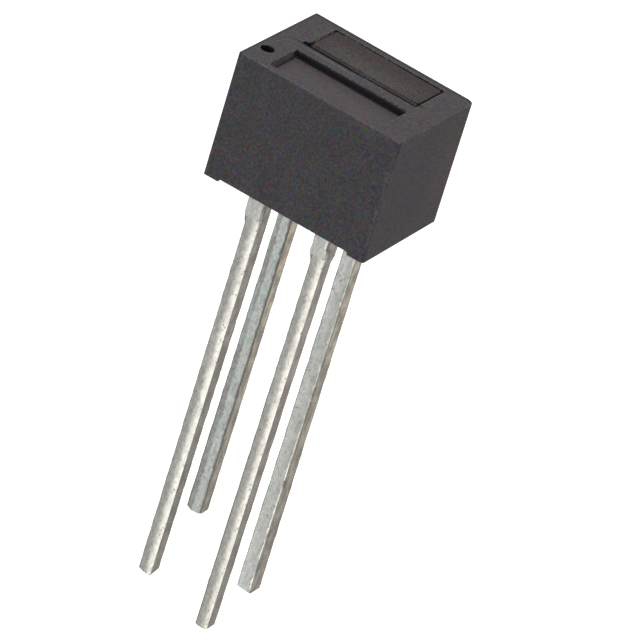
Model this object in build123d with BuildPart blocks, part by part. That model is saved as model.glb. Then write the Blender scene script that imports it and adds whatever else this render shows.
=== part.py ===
from build123d import *
import os

# A reflective optical sensor for a circuit board: an infrared lamp and a phototransistor look up
# side by side.
#
# A black moulded housing is open below and has two windows on top, with a divider between them that
# keeps the lamp's light from going straight across. Each pocket holds an epoxy block, cast round
# two lead frames, a chip and its bond wire. A resin fill closes the housing below, and the four
# leads go down through it.
#
# Millimetres. +Z is the way the sensor looks. The origin is on the board's surface, under the
# middle of the housing, and +X runs along its long side. The dimple that marks lead one is at -X,
# -Y.

# Housing
body_length = 6.10
body_width = 4.40
body_height = 4.40
end_wall = 0.51
front_wall = 0.24
back_wall = 0.30
top_wall = 0.70
ledge = 0.45  # how far the top wall reaches in over each end of a pocket
divider = 0.50
divider_y = -0.10
divider_reach = 0.09  # the divider's lower edge lies this far below the blocks
pocket_corner_radius = 0.15
window_corner_radius = 0.08
window_edge_radius = 0.04
left_corner_radius = 0.05
front_right_corner_radius = 0.12
back_right_corner_radius = 0.28
top_edge_radius = 0.04

# The long walls stop short of the board, between feet at the four corners
foot_length = 0.55
relief_height = 0.10
relief_radius = 0.05

# Lead one's dimple
dimple_diameter = 0.46
dimple_depth = 0.35
dimple_from_end = 0.39
dimple_from_front = 0.99

# Epoxy blocks, and the gaps round them in their pockets
block_end_gap = 0.10
block_wall_gap = 0.045
block_divider_gap = 0.135  # in the narrower pocket
window_gap = 0.065
block_x = -0.01
block_corner_radius = 0.10
block_top_radius = 0.05
detector_recess = 0.22  # below the sensing face
lamp_recess = 0.01

# Resin fill
fill_recess = 0.20  # above the board
fill_depth = 0.49

# Leads: square strip, cut to uneven lengths below the board
lead_size = 0.51
lead_edge_radius = 0.06
lead_pitch = 2.54
detector_lead_shift = -0.06  # from the middle of the block
lamp_lead_shift = -0.24
collector_length = 14.73
emitter_length = 15.36
anode_length = 14.75
cathode_length = 13.12
tip_taper = 0.04
cathode_tip_taper = 0.11

# Stubs of the sheared bar that once joined the leads
stub_left = 0.12
stub_right = 0.02
stub_length = 0.95
stub_taper = 0.29
stub_bite = 0.40  # up into the block

# Lead heads, inside the blocks
head_depth = 1.27  # from the top of the block
head_reach = 0.42  # past the middle of the block's length
head_thickness = 0.36
arm_slope = 0.5
post_gap = 0.32
pad_width = 0.70
pad_thickness = 0.14
pad_flare = 0.10
cup_rim_radius = 0.36
cup_neck_radius = 0.28
cup_height = 0.44
cup_mouth_radius = 0.30
cup_floor_radius = 0.23
cup_depth = 0.26

# Chips, the film of conductive epoxy under them, and bond wires
detector_chip_side = 0.50
detector_chip_height = 0.20
lamp_chip_side = 0.28
lamp_chip_height = 0.18
film_thickness = 0.03
film_margin = 0.015
wire_diameter = 0.03
wire_rise = 0.20
wire_bend_radius = 0.08
bond_radius = 0.04
bond_height = 0.025

# Worked out from the values above
pocket_length = body_length - 2 * end_wall
pocket_top = body_height - top_wall
window_length = pocket_length - 2 * ledge
front_inside = front_wall - body_width / 2
back_inside = body_width / 2 - back_wall
front_pocket_width = divider_y - divider / 2 - front_inside
back_pocket_width = back_inside - divider_y - divider / 2
front_pocket_y = front_inside + front_pocket_width / 2
back_pocket_y = back_inside - back_pocket_width / 2

block_length = pocket_length - 2 * block_end_gap
block_width = min(front_pocket_width, back_pocket_width) - block_wall_gap - block_divider_gap
boss_length = window_length - 2 * window_gap
block_bottom = fill_recess + fill_depth
divider_low = block_bottom - divider_reach
detector_top = body_height - detector_recess
lamp_top = body_height - lamp_recess
detector_y = front_inside + block_wall_gap + block_width / 2
lamp_y = back_inside - block_wall_gap - block_width / 2

detector_row = detector_y + detector_lead_shift
lamp_row = lamp_y + lamp_lead_shift
detector_seat = detector_top - head_depth
lamp_seat = lamp_top - head_depth
cup_floor = lamp_seat - cup_depth


# Housing: one moulding, with a different radius on each right-hand corner
with BuildPart() as housing:
    with BuildSketch() as outline:
        Rectangle(body_length, body_width)
        fillet(outline.vertices().group_by(Axis.X)[0], left_corner_radius)
        fillet(outline.vertices().group_by(Axis.X)[-1].sort_by(Axis.Y)[0], front_right_corner_radius)
        fillet(outline.vertices().group_by(Axis.Y)[-1].sort_by(Axis.X)[-1], back_right_corner_radius)
    extrude(amount=body_height)
    fillet(housing.faces().sort_by(Axis.Z)[-1].edges(), top_edge_radius)

    # The open mouth, below the divider
    with BuildSketch():
        with Locations((0, (front_inside + back_inside) / 2)):
            RectangleRounded(pocket_length, back_inside - front_inside, pocket_corner_radius)
    extrude(amount=divider_low, mode=Mode.SUBTRACT)

    # Two pockets, and a shorter window through the top wall over each
    for y, width in ((front_pocket_y, front_pocket_width), (back_pocket_y, back_pocket_width)):
        with BuildSketch(Plane.XY.offset(divider_low)):
            with Locations((0, y)):
                RectangleRounded(pocket_length, width, pocket_corner_radius)
        extrude(amount=pocket_top - divider_low, mode=Mode.SUBTRACT)
        with BuildSketch(Plane.XY.offset(pocket_top)):
            with Locations((0, y)):
                RectangleRounded(window_length, width, window_corner_radius)
        extrude(amount=top_wall, mode=Mode.SUBTRACT)
    sensing_face = housing.faces().filter_by(Axis.Z).sort_by(Axis.Z)[-1]
    fillet(sensing_face.inner_wires().edges(), window_edge_radius)

    # The relief under both long walls
    with BuildSketch(Plane.XZ) as relief:
        with Locations((0, relief_height / 2)):
            Rectangle(body_length - 2 * foot_length, relief_height)
        fillet(relief.vertices().group_by(Axis.Z)[-1], relief_radius)
    extrude(amount=body_width, both=True, mode=Mode.SUBTRACT)

    dimple_x = dimple_from_end - body_length / 2
    dimple_y = dimple_from_front - body_width / 2
    with Locations((dimple_x, dimple_y, body_height)):
        Hole(dimple_diameter / 2, depth=dimple_depth)


# A lead is one stamping: leg, stub and head. side is -1 for the two on the left, whose heads reach
# in under the middle of the block and carry the chip, and 1 for the two on the right, whose heads
# take the bond wire.
def make_lead(side, row, length, seat, tip_taper):
    x = side * lead_pitch / 2
    inner = x - side * lead_size / 2
    outer = x + side * lead_size / 2
    tip_size = lead_size - 2 * tip_taper
    stub_width = lead_size + stub_left + stub_right
    stub_x = x + (stub_right - stub_left) / 2
    stub_top = block_bottom + stub_bite
    taper_end = -stub_length - stub_taper
    head_end = head_reach if side < 0 else head_reach + post_gap
    head_low = seat - head_thickness
    arm_low = head_low - arm_slope * abs(inner - head_end)
    with BuildPart() as lead:
        # The leg, with its cut end drawn in a little all round
        with BuildSketch(Plane.XY.offset(-length)):
            with Locations((x, row)):
                RectangleRounded(tip_size, tip_size, lead_edge_radius)
        with BuildSketch(Plane.XY.offset(-length + tip_taper)):
            with Locations((x, row)):
                RectangleRounded(lead_size, lead_size, lead_edge_radius)
        loft()
        with BuildSketch(Plane.XY.offset(-length + tip_taper)):
            with Locations((x, row)):
                RectangleRounded(lead_size, lead_size, lead_edge_radius)
        extrude(amount=length - tip_taper + taper_end)

        # The stub, wider on the left, and the taper down to the leg
        with BuildSketch(Plane.XY.offset(taper_end)):
            with Locations((x, row)):
                RectangleRounded(lead_size, lead_size, lead_edge_radius)
        with BuildSketch(Plane.XY.offset(-stub_length)):
            with Locations((stub_x, row)):
                RectangleRounded(stub_width, lead_size, lead_edge_radius)
        loft()
        with BuildSketch(Plane.XY.offset(-stub_length)):
            with Locations((stub_x, row)):
                RectangleRounded(stub_width, lead_size, lead_edge_radius)
        extrude(amount=stub_length + stub_top)

        # The head
        with BuildSketch(Plane.XZ.offset(-row)):
            with BuildLine():
                Polyline(
                    (inner, stub_top),
                    (inner, arm_low),
                    (head_end, head_low),
                    (head_end, seat),
                    (x, seat),
                    (outer, seat - arm_slope * lead_size / 2),
                    (outer, stub_top),
                    close=True,
                )
            make_face()
        extrude(amount=lead_size / 2, both=True)
    return lead


# The phototransistor's chip lies on a flat pad, coined wider than the strip
def add_pad(lead, row, seat):
    pad_low = seat - pad_thickness
    half_pad = pad_width / 2
    half_strip = lead_size / 2
    with BuildPart() as whole:
        add(lead.part)
        with BuildSketch(Plane.YZ):
            with BuildLine():
                Polyline(
                    (row - half_pad, seat),
                    (row - half_pad, pad_low),
                    (row - half_strip, pad_low - pad_flare),
                    (row + half_strip, pad_low - pad_flare),
                    (row + half_pad, pad_low),
                    (row + half_pad, seat),
                    close=True,
                )
            make_face()
        extrude(amount=head_reach, both=True)
    return whole


# The lamp's chip lies in a round cup, which throws its light upwards
def add_cup(lead, row, rim):
    neck = rim - cup_height
    low = rim - cup_depth
    with BuildPart() as whole:
        add(lead.part)
        with BuildSketch(Plane.XZ.offset(-row)):
            with BuildLine():
                Polyline((0, rim), (0, neck), (cup_neck_radius, neck), (cup_rim_radius, rim), close=True)
            make_face()
        revolve(axis=Axis((0, row, 0), (0, 0, 1)))
        with BuildSketch(Plane.XZ.offset(-row)):
            with BuildLine():
                Polyline((0, rim), (0, low), (cup_floor_radius, low), (cup_mouth_radius, rim), close=True)
            make_face()
        revolve(axis=Axis((0, row, 0), (0, 0, 1)), mode=Mode.SUBTRACT)
    return whole


def make_film(row, seat, chip_side):
    film_side = chip_side + 2 * film_margin
    with BuildPart() as film:
        with BuildSketch(Plane.XY.offset(seat)):
            with Locations((0, row)):
                RectangleRounded(film_side, film_side, 2 * film_margin)
        extrude(amount=film_thickness)
    return film


def make_chip(row, seat, chip_side, chip_height):
    with BuildPart() as chip:
        with BuildSketch(Plane.XY.offset(seat + film_thickness)):
            with Locations((0, row)):
                Rectangle(chip_side, chip_side)
        extrude(amount=chip_height)
    return chip


# From a bond beside the chip's middle the wire rises, crosses the gap and comes down on the middle
# of the other lead's flat top
def make_wire(row, chip_side, chip_top, post_top):
    bond_x = chip_side / 4
    post_x = (head_reach + post_gap + lead_pitch / 2) / 2
    crest = max(chip_top, post_top) + wire_rise
    with BuildPart() as wire:
        with BuildLine() as path:
            FilletPolyline(
                (bond_x, row, chip_top),
                (bond_x, row, crest),
                (post_x, row, crest),
                (post_x, row, post_top),
                radius=wire_bend_radius,
            )
        with BuildSketch(Plane((bond_x, row, chip_top))):
            Circle(wire_diameter / 2)
        sweep(path=path.line)
        for x, z in ((bond_x, chip_top), (post_x, post_top)):
            with BuildSketch(Plane((x, row, z))):
                Circle(bond_radius)
            extrude(amount=bond_height)
    return wire


# The block's wide lower part stops against the top wall, and its boss fills the window
def make_block(y, top, held):
    with BuildPart() as block:
        with BuildSketch(Plane.XY.offset(block_bottom)):
            with Locations((block_x, y)):
                RectangleRounded(block_length, block_width, block_corner_radius)
        extrude(amount=pocket_top - block_bottom)
        with BuildSketch(Plane.XY.offset(pocket_top)):
            with Locations((block_x, y)):
                RectangleRounded(boss_length, block_width, block_corner_radius)
        extrude(amount=top - pocket_top)
        fillet(block.faces().sort_by(Axis.Z)[-1].edges(), block_top_radius)
        for piece in held:
            add(piece.part, mode=Mode.SUBTRACT)
    return block


plain_collector = make_lead(-1, detector_row, collector_length, detector_seat, tip_taper)
collector_lead = add_pad(plain_collector, detector_row, detector_seat)
emitter_lead = make_lead(1, detector_row, emitter_length, detector_seat, tip_taper)
anode_lead = make_lead(1, lamp_row, anode_length, lamp_seat, tip_taper)
plain_cathode = make_lead(-1, lamp_row, cathode_length, lamp_seat, cathode_tip_taper)
cathode_lead = add_cup(plain_cathode, lamp_row, lamp_seat)

detector_film = make_film(detector_row, detector_seat, detector_chip_side)
lamp_film = make_film(lamp_row, cup_floor, lamp_chip_side)
detector_chip = make_chip(detector_row, detector_seat, detector_chip_side, detector_chip_height)
lamp_chip = make_chip(lamp_row, cup_floor, lamp_chip_side, lamp_chip_height)
detector_chip_top = detector_seat + film_thickness + detector_chip_height
lamp_chip_top = cup_floor + film_thickness + lamp_chip_height
detector_wire = make_wire(detector_row, detector_chip_side, detector_chip_top, detector_seat)
lamp_wire = make_wire(lamp_row, lamp_chip_side, lamp_chip_top, lamp_seat)

detector_held = (collector_lead, emitter_lead, detector_film, detector_chip, detector_wire)
lamp_held = (anode_lead, cathode_lead, lamp_film, lamp_chip, lamp_wire)
detector_block = make_block(detector_y, detector_top, detector_held)
lamp_block = make_block(lamp_y, lamp_top, lamp_held)

# Resin fill: poured round the leads, from the mouth up to the blocks
with BuildPart() as resin_fill:
    with BuildSketch(Plane.XY.offset(fill_recess)):
        with Locations((0, (front_inside + back_inside) / 2)):
            RectangleRounded(pocket_length, back_inside - front_inside, pocket_corner_radius)
    extrude(amount=divider_low - fill_recess)
    for y, width in ((front_pocket_y, front_pocket_width), (back_pocket_y, back_pocket_width)):
        with BuildSketch(Plane.XY.offset(divider_low)):
            with Locations((0, y)):
                RectangleRounded(pocket_length, width, pocket_corner_radius)
        extrude(amount=block_bottom - divider_low)
    for lead in (collector_lead, emitter_lead, anode_lead, cathode_lead):
        add(lead.part, mode=Mode.SUBTRACT)

pieces = {
    "housing": housing,
    "detector_block": detector_block,
    "lamp_block": lamp_block,
    "resin_fill": resin_fill,
    "collector_lead": collector_lead,
    "emitter_lead": emitter_lead,
    "anode_lead": anode_lead,
    "cathode_lead": cathode_lead,
    "detector_chip": detector_chip,
    "lamp_chip": lamp_chip,
    "detector_film": detector_film,
    "lamp_film": lamp_film,
    "detector_wire": detector_wire,
    "lamp_wire": lamp_wire,
}
os.makedirs("parts", exist_ok=True)
for name, piece in pieces.items():
    piece.part.label = name
    export_step(piece.part, f"parts/{name}.step")
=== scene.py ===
# %% [markdown]
# # A reflective optical sensor
#
# The sensor is a black moulded box the size of a grain of rice, which looks up through two windows and
# stands on four long tinned leads. The CAD model gives every piece its place and size. Here each visible
# piece gets the shape that light shows, such as softened edges, rough stampings and poured resin, and a
# finish made from nodes.

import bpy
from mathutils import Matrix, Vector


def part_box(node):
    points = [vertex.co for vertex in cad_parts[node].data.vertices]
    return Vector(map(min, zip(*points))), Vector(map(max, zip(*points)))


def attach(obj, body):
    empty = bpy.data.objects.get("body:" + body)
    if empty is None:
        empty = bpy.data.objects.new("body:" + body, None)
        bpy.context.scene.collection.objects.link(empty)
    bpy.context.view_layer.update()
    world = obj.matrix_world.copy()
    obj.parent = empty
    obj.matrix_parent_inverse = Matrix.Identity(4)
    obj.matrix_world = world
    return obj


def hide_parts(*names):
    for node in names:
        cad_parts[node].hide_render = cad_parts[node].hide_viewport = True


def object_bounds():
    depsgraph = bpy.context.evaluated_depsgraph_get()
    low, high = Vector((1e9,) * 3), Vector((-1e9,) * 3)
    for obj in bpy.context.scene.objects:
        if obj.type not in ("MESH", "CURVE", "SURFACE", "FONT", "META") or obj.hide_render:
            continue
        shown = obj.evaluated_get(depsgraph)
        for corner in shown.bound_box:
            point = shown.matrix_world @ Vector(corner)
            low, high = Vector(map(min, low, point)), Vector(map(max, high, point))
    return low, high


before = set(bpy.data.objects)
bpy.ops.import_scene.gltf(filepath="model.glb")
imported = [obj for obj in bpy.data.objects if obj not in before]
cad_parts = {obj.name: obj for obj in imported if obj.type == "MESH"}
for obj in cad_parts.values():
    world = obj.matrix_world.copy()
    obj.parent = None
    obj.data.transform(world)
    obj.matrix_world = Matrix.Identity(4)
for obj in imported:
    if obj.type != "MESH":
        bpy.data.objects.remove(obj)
cad_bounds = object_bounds()
print("CAD nodes:", sorted(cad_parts))

# %% Tools and units
import math

import bmesh
import bpy
from mathutils import Matrix, Vector

mm = 0.001
scene = bpy.context.scene
print("CAD box in mm:", [[round(v / mm, 3) for v in corner] for corner in cad_bounds])

# %% [markdown]
# ## Camera
#
# A picture of a small thing is taken from afar with a long lens, so its edges stay nearly parallel. Nine
# corners of the box and the edges of the leads fix where the camera stood: right of the front, a third of
# the way up, and rolled, which is why the sensor seems to lean in the picture. An empty that the camera
# tracks could aim it, but the roll is simplest when its three axes are worked out and given as a matrix.

# %% Camera
azimuth = math.radians(24.45)
elevation = math.radians(30.3)
roll = math.radians(17.69)
camera_distance = 180.0
aim_right = 0.018
aim_up = 3.845
focal_pixels = 5777.0
picture_pixels = 640
sensor_width = 36.0

back = Vector((
    math.sin(azimuth) * math.cos(elevation),
    -math.cos(azimuth) * math.cos(elevation),
    math.sin(elevation),
))
level = Vector((math.cos(azimuth), math.sin(azimuth), 0))
upright = back.cross(level)
right = math.cos(roll) * level + math.sin(roll) * upright
up = math.cos(roll) * upright - math.sin(roll) * level
place = camera_distance * back - aim_right * right - aim_up * up

camera_data = bpy.data.cameras.new("camera")
camera = bpy.data.objects.new("camera", camera_data)
scene.collection.objects.link(camera)
scene.camera = camera
camera_data.sensor_width = sensor_width
camera_data.lens = focal_pixels * sensor_width / picture_pixels
camera_data.clip_start = 1 * mm
camera_data.clip_end = 10
camera.matrix_world = Matrix.Translation(place * mm) @ Matrix((right, up, back)).transposed().to_4x4()
print("lens", round(camera_data.lens, 1), "mm, camera at", [round(v, 1) for v in place], "mm")

# %% [markdown]
# ## A bench at a handy scale
#
# The sensor is so small that some of Blender's tools reach their smallest setting before its details. So
# each piece is modelled on a bench where one unit is one millimetre, and shrunk to metres when it is done.
# Every step is what a modeller does by hand: add a primitive, select faces or edges, then extrude, bevel or
# cut. A script has no mouse, so it selects by where things are.

# %% Helpers for the bench
def activate(obj=None):
    """Leaves obj alone selected and active, in object mode."""
    if bpy.context.object and bpy.context.object.mode != "OBJECT":
        bpy.ops.object.mode_set(mode="OBJECT")
    bpy.ops.object.select_all(action="DESELECT")
    if obj:
        obj.select_set(True)
        bpy.context.view_layer.objects.active = obj


def edit(obj, kind="VERT"):
    """Opens obj in edit mode with nothing selected. kind is VERT, EDGE or FACE."""
    activate(obj)
    bpy.ops.object.mode_set(mode="EDIT")
    bpy.ops.mesh.select_mode(type=kind)
    bpy.ops.mesh.select_all(action="DESELECT")


def pick(kind, test):
    """Selects what passes the test, and counts it.

    A vertex is tested by its place, an edge by its two ends, a face by its middle and normal.
    """
    data = bpy.context.object.data
    mesh = bmesh.from_edit_mesh(data)
    bpy.ops.mesh.select_all(action="DESELECT")
    if kind == "VERT":
        found = [v for v in mesh.verts if test(v.co)]
    elif kind == "EDGE":
        found = [e for e in mesh.edges if test(e.verts[0].co, e.verts[1].co)]
    else:
        found = [f for f in mesh.faces if test(f.calc_center_median(), f.normal)]
    for part in found:
        part.select_set(True)
    mesh.select_flush_mode()
    bmesh.update_edit_mesh(data)
    return len(found)


def done():
    """Leaves edit mode."""
    bpy.ops.object.mode_set(mode="OBJECT")


def add_box(name, low, high):
    """A box between two corners."""
    low, high = Vector(low), Vector(high)
    activate()
    bpy.ops.mesh.primitive_cube_add(size=1, location=(low + high) / 2, scale=high - low)
    bpy.ops.object.transform_apply(location=True, rotation=True, scale=True)
    box = bpy.context.object
    box.name = name
    return box


def same(a, b):
    """Whether two sizes are equal, apart from rounding."""
    return abs(a - b) < 1e-4


def round_upright_edges(obj, radius, segments, test=lambda x, y: True):
    """Bevels the edges of obj that run along Z and stand where the test says."""
    edit(obj, "EDGE")
    count = pick("EDGE", lambda a, b: same(a.x, b.x) and same(a.y, b.y) and test(a.x, a.y))
    bpy.ops.mesh.bevel(offset=radius, segments=segments, affect="EDGES")
    done()
    return count


def combine(body, tool, operation="UNION"):
    """Adds, takes out or keeps the shape of tool, and removes tool."""
    modifier = body.modifiers.new("combine", "BOOLEAN")
    modifier.operation = operation
    modifier.solver = "EXACT"
    modifier.object = tool
    activate(body)
    bpy.ops.object.modifier_apply(modifier="combine")
    bpy.data.objects.remove(tool)


def cut(body, tool):
    """Takes the shape of tool out of body, and removes tool."""
    combine(body, tool, "DIFFERENCE")


def move(test, by):
    """Moves the points of the open mesh that pass the test."""
    if pick("VERT", test):
        bpy.ops.transform.translate(value=by)


def finish_piece(piece, node, smooth_below, flat_faces=False):
    """Shrinks a piece from the bench to metres and lets it stand for its CAD node."""
    activate(piece)
    bpy.ops.object.shade_smooth_by_angle(angle=math.radians(smooth_below))
    if flat_faces:
        weighted = piece.modifiers.new("flat faces", "WEIGHTED_NORMAL")
        weighted.keep_sharp = True
        bpy.ops.object.modifier_apply(modifier="flat faces")
    piece.scale = (mm, mm, mm)
    bpy.ops.object.transform_apply(location=True, rotation=True, scale=True)
    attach(piece, "root")
    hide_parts(node)
    print(piece.name, "has", len(piece.data.polygons), "faces")


def size_of(node):
    """Lowest and highest corner of a CAD node, in millimetres."""
    low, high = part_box(node)
    return Vector(low) / mm, Vector(high) / mm


# %% [markdown]
# ## Housing
#
# The housing is one injection moulding: thin walls, two pockets that open below, a window over each, and a
# divider. It could be built face by face, but a moulding is the negative of its mould, so the mould maker's
# way is also the shortest here: start from the outer block and take the shape of each core pin out of it.
# The four upright corners differ on the real one, so they are rounded one by one.
#
# A real moulding is not quite true. Thin flash crept along the seams, one foot is rubbed back, and the rim
# shrank unevenly as it cooled. Strips are joined on for the flash, and the points of the rim are turned a
# little. A lattice could bend it too, but these few points are all there is to move.

# %% Sizes of the housing
housing_low, housing_high = size_of("housing")
fill_low, fill_high = size_of("resin_fill")
top = housing_high.z
top_wall = 0.70
ledge = 0.45
divider_front = -0.35
divider_back = 0.15
divider_low = 0.60
window_end = fill_high.x - ledge
pocket_radius = 0.15
window_radius = 0.08
relief_height = 0.10
foot_length = 0.55
print("top face at", round(top, 3), "mm, pockets", round(fill_high.x - fill_low.x, 3), "mm long")

# %% Outer block with its different corners
housing = add_box("housing_moulding", housing_low, housing_high)
corners = (
    (0.05, 3, lambda x, y: x < 0),
    (0.12, 5, lambda x, y: x > 0 and y < 0),
    (0.28, 10, lambda x, y: x > 0 and y > 0),
)
for radius, segments, test in corners:
    print(round_upright_edges(housing, radius, segments, test), "corners of radius", radius)

# %% Mouth, pockets and windows, each the shape of its core pin
beyond = 0.5
overlap = 0.01
pocket_top = top - top_wall
mouth = add_box("mouth", (fill_low.x, fill_low.y, -beyond), (fill_high.x, fill_high.y, divider_low))
round_upright_edges(mouth, pocket_radius, 5)
cut(housing, mouth)
for front, rear in ((fill_low.y, divider_front), (divider_back, fill_high.y)):
    pocket = add_box("pocket", (fill_low.x, front, divider_low - overlap), (fill_high.x, rear, pocket_top))
    round_upright_edges(pocket, pocket_radius, 5)
    cut(housing, pocket)
    window = add_box("window", (-window_end, front, pocket_top - overlap), (window_end, rear, top + beyond))
    round_upright_edges(window, window_radius, 4)
    cut(housing, window)

# %% Rounded front edge of the divider
divider_edge = 0.12
edit(housing, "EDGE")
on_edge = lambda p: same(p.y, divider_front) and same(p.z, top) and abs(p.x) < window_end
print(pick("EDGE", lambda a, b: on_edge(a) and on_edge(b)), "edge along the divider")
bpy.ops.mesh.bevel(offset=divider_edge, segments=5, affect="EDGES")
done()

# %% Flash along the seams of both blocks, and the notch at one end
detector_high, lamp_low = size_of("detector_block")[1], size_of("lamp_block")[0]
root = 0.05  # how far a strip reaches into its wall
lamp_seam = lamp_low.y - 0.005
beam_front = lamp_low.y - 0.14
flash_end = window_end - 0.07
strips = {
    "flash_behind_detector": (
        (-fill_high.x - root, detector_high.y - 0.03, divider_low + 0.2),
        (fill_high.x + root, divider_front + root, detector_high.z - 0.02),
    ),
    "flash_beam": (
        (-window_end - root, beam_front, top - 0.65),
        (window_end + root, lamp_seam, top - 0.35),
    ),
    "flash_before_lamp": ((-flash_end, beam_front, top - 0.4), (flash_end, lamp_seam, top - 0.035)),
    "flash_behind_lamp": (
        (-window_end + 0.3, fill_high.y - 0.06, top - 0.3),
        (0.3, fill_high.y + 0.03, top - 0.04),
    ),
    "flash_beside_lamp": ((-window_end - root, 0.6, top - 0.3), (-window_end + 0.03, 1.75, top - 0.03)),
}
for name, (low, high) in strips.items():
    combine(housing, add_box(name, low, high))
notch_low = (-window_end - 0.17, divider_back, top - 0.14)
notch_high = (-window_end + 0.1, divider_back + 0.19, top + 0.1)
cut(housing, add_box("notch", notch_low, notch_high))
print("faces after the cores:", len(housing.data.polygons))

# %% Relief between the feet, and the dimple beside lead one
dimple_radius = 0.23
dimple_depth = 0.35
dimple_place = (housing_low.x + 0.39, housing_low.y + 0.99)
rubbed_back = 0.06
foot_radii = {-1: 0.01, 1: 0.07}  # left and right

relief = add_box(
    "relief",
    (housing_low.x + foot_length, housing_low.y - beyond, -beyond),
    (housing_high.x - foot_length - rubbed_back, housing_high.y + beyond, relief_height),
)
edit(relief, "EDGE")
for side, radius in foot_radii.items():
    pick("EDGE", lambda a, b: a.z > 0 and b.z > 0 and same(a.x, b.x) and a.x * side > 0)
    bpy.ops.mesh.bevel(offset=radius, segments=3, affect="EDGES")
done()
cut(housing, relief)
activate()
bpy.ops.mesh.primitive_cylinder_add(
    vertices=40, radius=dimple_radius, depth=2 * dimple_depth, location=(*dimple_place, top)
)
dimple = bpy.context.object
bpy.ops.object.transform_apply(location=True, rotation=True, scale=True)
cut(housing, dimple)

# %% Slightly out of true, as the moulding cooled
left_lower = math.radians(0.8)
back_higher = math.radians(-0.6)
hinge_x = 2.3
swelling = 0.06

edit(housing)
on_rim = lambda p: p.z < 0.2
at_back = lambda p: p.y > housing_high.y - 0.4
at_front_left = lambda p: p.x < housing_low.x + 0.1 and p.y < housing_low.y + 0.1
print(pick("VERT", on_rim), "points of the lower rim")
bpy.ops.transform.rotate(value=left_lower, orient_axis="Y", center_override=(hinge_x, 0, 0))
bpy.ops.transform.rotate(value=back_higher, orient_axis="X", center_override=(0, housing_low.y, 0))
low_rim = min(v.co.z for v in bmesh.from_edit_mesh(housing.data).verts)
move(lambda p: on_rim(p) and at_back(p), (0, swelling, 0))
move(lambda p: same(p.z, top) and at_front_left(p), (0, -swelling, 0))
done()
print("lowest point", round(low_rim, 3))

# %% Soften every sharp edge
soft_edge = 0.035  # at most: it stops before it overlaps, and the shortest edges hold it back to 0.003
bevel = housing.modifiers.new("soft edges", "BEVEL")
bevel.width = soft_edge
bevel.segments = 3
bevel.limit_method = "ANGLE"
bevel.angle_limit = math.radians(50)
activate(housing)
bpy.ops.object.modifier_apply(modifier="soft edges")

# Mouth and pocket leave a sliver where the pocket's corner begins, so the points there are joined
sliver_place = Vector((fill_high.x, fill_low.y + pocket_radius, divider_low))
edit(housing)
print(pick("VERT", lambda p: (p - sliver_place).length < 2 * overlap), "points round the sliver")
bpy.ops.mesh.remove_doubles(threshold=overlap)
done()
finish_piece(housing, "housing", smooth_below=40, flat_faces=True)

# %% [markdown]
# ## Leads
#
# Each lead is a stamping of square strip. The punch leaves one softly domed face and rough sheared flanks, a
# bar that once joined the leads leaves a wider stub below the housing, and a cutter leaves the tip. Hot tin
# over all of it is slightly lumpy. No two leads are alike: each has its own width, slant and bluntness.
#
# A voxel remesh would give the long thin shape enough points to be lumpy, but it melts the crisp edge
# between face and flank, which is what catches the light. So the shape is made with few points, which are
# easy to move, its long edges get a hair of rounding, and only then is it halved again and again along its
# length, until two displacements, slow waves and small pits, have enough points to work on. One stub lost a
# bit of its edge, which could be cut out, but a soft push leaves the bruised skin that tin runs over.

# %% Sizes of the leads
lead_size = 0.51
lead_pitch = 2.54
half = lead_size / 2
stub_left = 0.12
stub_right = 0.02
stub_length = 0.95
stub_taper = 0.34
stub_above_fill = 0.40
stub_top = fill_high.z + stub_above_fill
head_depth = 1.27
head_reach = 0.42
head_thickness = 0.36
arm_slope = 0.5
post_gap = 0.32
front_row = -1.26
back_row = 0.90


# %% Helpers for the leads
def cut_line(place, normal):
    """Adds a line of points all round the open mesh where a plane meets it."""
    bpy.ops.mesh.select_all(action="SELECT")
    bpy.ops.mesh.bisect(plane_co=place, plane_no=normal)


def clouds(name, size, depth):
    """A cloudy texture for the Displace modifier, with lumps of this size."""
    made = bpy.data.textures.new(name, "CLOUDS")
    made.noise_scale = size
    made.noise_depth = depth
    return made


def displace(piece, pattern, strength):
    """Moves the skin of a piece in and out by a texture."""
    modifier = piece.modifiers.new(pattern.name, "DISPLACE")
    modifier.texture = pattern
    modifier.texture_coords = "LOCAL"
    modifier.strength = strength
    activate(piece)
    bpy.ops.object.modifier_apply(modifier=modifier.name)


# %% The blank of one lead: leg, stub and head
face_dome = 0.055
face_crown = 0.02
stub_rollover = 0.10
dome_lines = (0.04, 0.08, 0.12, 0.16, 0.20)
stub_dome = 0.15  # share of the leg's dome
flank_lines = (-0.17, -0.085, 0.0, 0.085, 0.17)
crisp_edge = 0.018


def widen(test, x, row, left, right, back):
    """Makes the lead wider, on its left, right and back, where the points pass the test."""
    pick("VERT", test)
    growth = (1 + (left + right) / lead_size, 1 + back / lead_size, 1)
    bpy.ops.transform.resize(value=growth, center_override=(x - half, row - half, 0))
    bpy.ops.transform.translate(value=(-left, 0, 0))


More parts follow.
